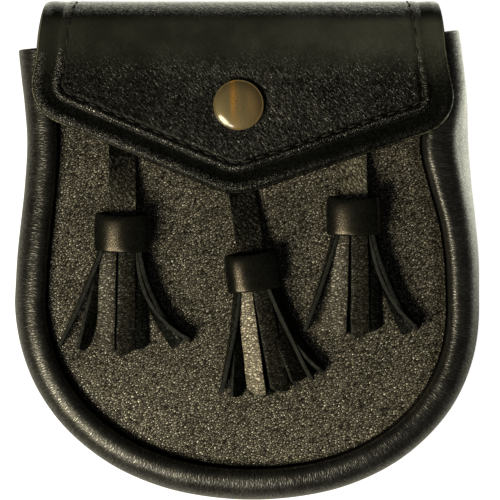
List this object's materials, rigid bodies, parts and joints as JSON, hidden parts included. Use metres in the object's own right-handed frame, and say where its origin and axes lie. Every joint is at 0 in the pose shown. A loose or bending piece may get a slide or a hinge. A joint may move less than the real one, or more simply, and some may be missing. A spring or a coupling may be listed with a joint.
{
  "type": "sporran pouch",
  "caption": "Leather day sporran: rounded pouch with a rolled gusset, creased V flap closed by a domed snap, and tassels with smooth collars and cut-strip fringes.",
  "frame": {"origin": "middle of the bounding box, on the surface that the back of the pouch lies on", "axes": "+X to the right of the front view, +Y up the front towards the fold, +Z out of the front"},
  "size_m": [0.1764, 0.1892, 0.0434],
  "materials": {
    "panel_leather": "fine pebbled grain, satin",
    "gusset_leather": "pebbled grain, satin",
    "hide_leather": "coarse drawn grain, satin",
    "strap_leather": "grained, satin",
    "collar_leather": "smooth, soft gloss",
    "fringe_leather": "grained face, suede cut edges",
    "loop_leather": "plain, matt",
    "aged_brass": "aged, polished by wear"
  },
  "bodies": {
    "root": {"gusset": "gusset_leather", "front_panel": "panel_leather", "back_and_flap": "hide_leather", "snap_cap": "aged_brass", "snap_stud": "aged_brass", "strap_left": "strap_leather", "strap_center": "strap_leather", "strap_right": "strap_leather", "collar_left": "collar_leather", "collar_center": "collar_leather", "collar_right": "collar_leather", "fringe_left": "fringe_leather", "fringe_center": "fringe_leather", "fringe_right": "fringe_leather", "belt_loop_left": "loop_leather", "belt_loop_right": "loop_leather"}
  },
  "joints": []
}
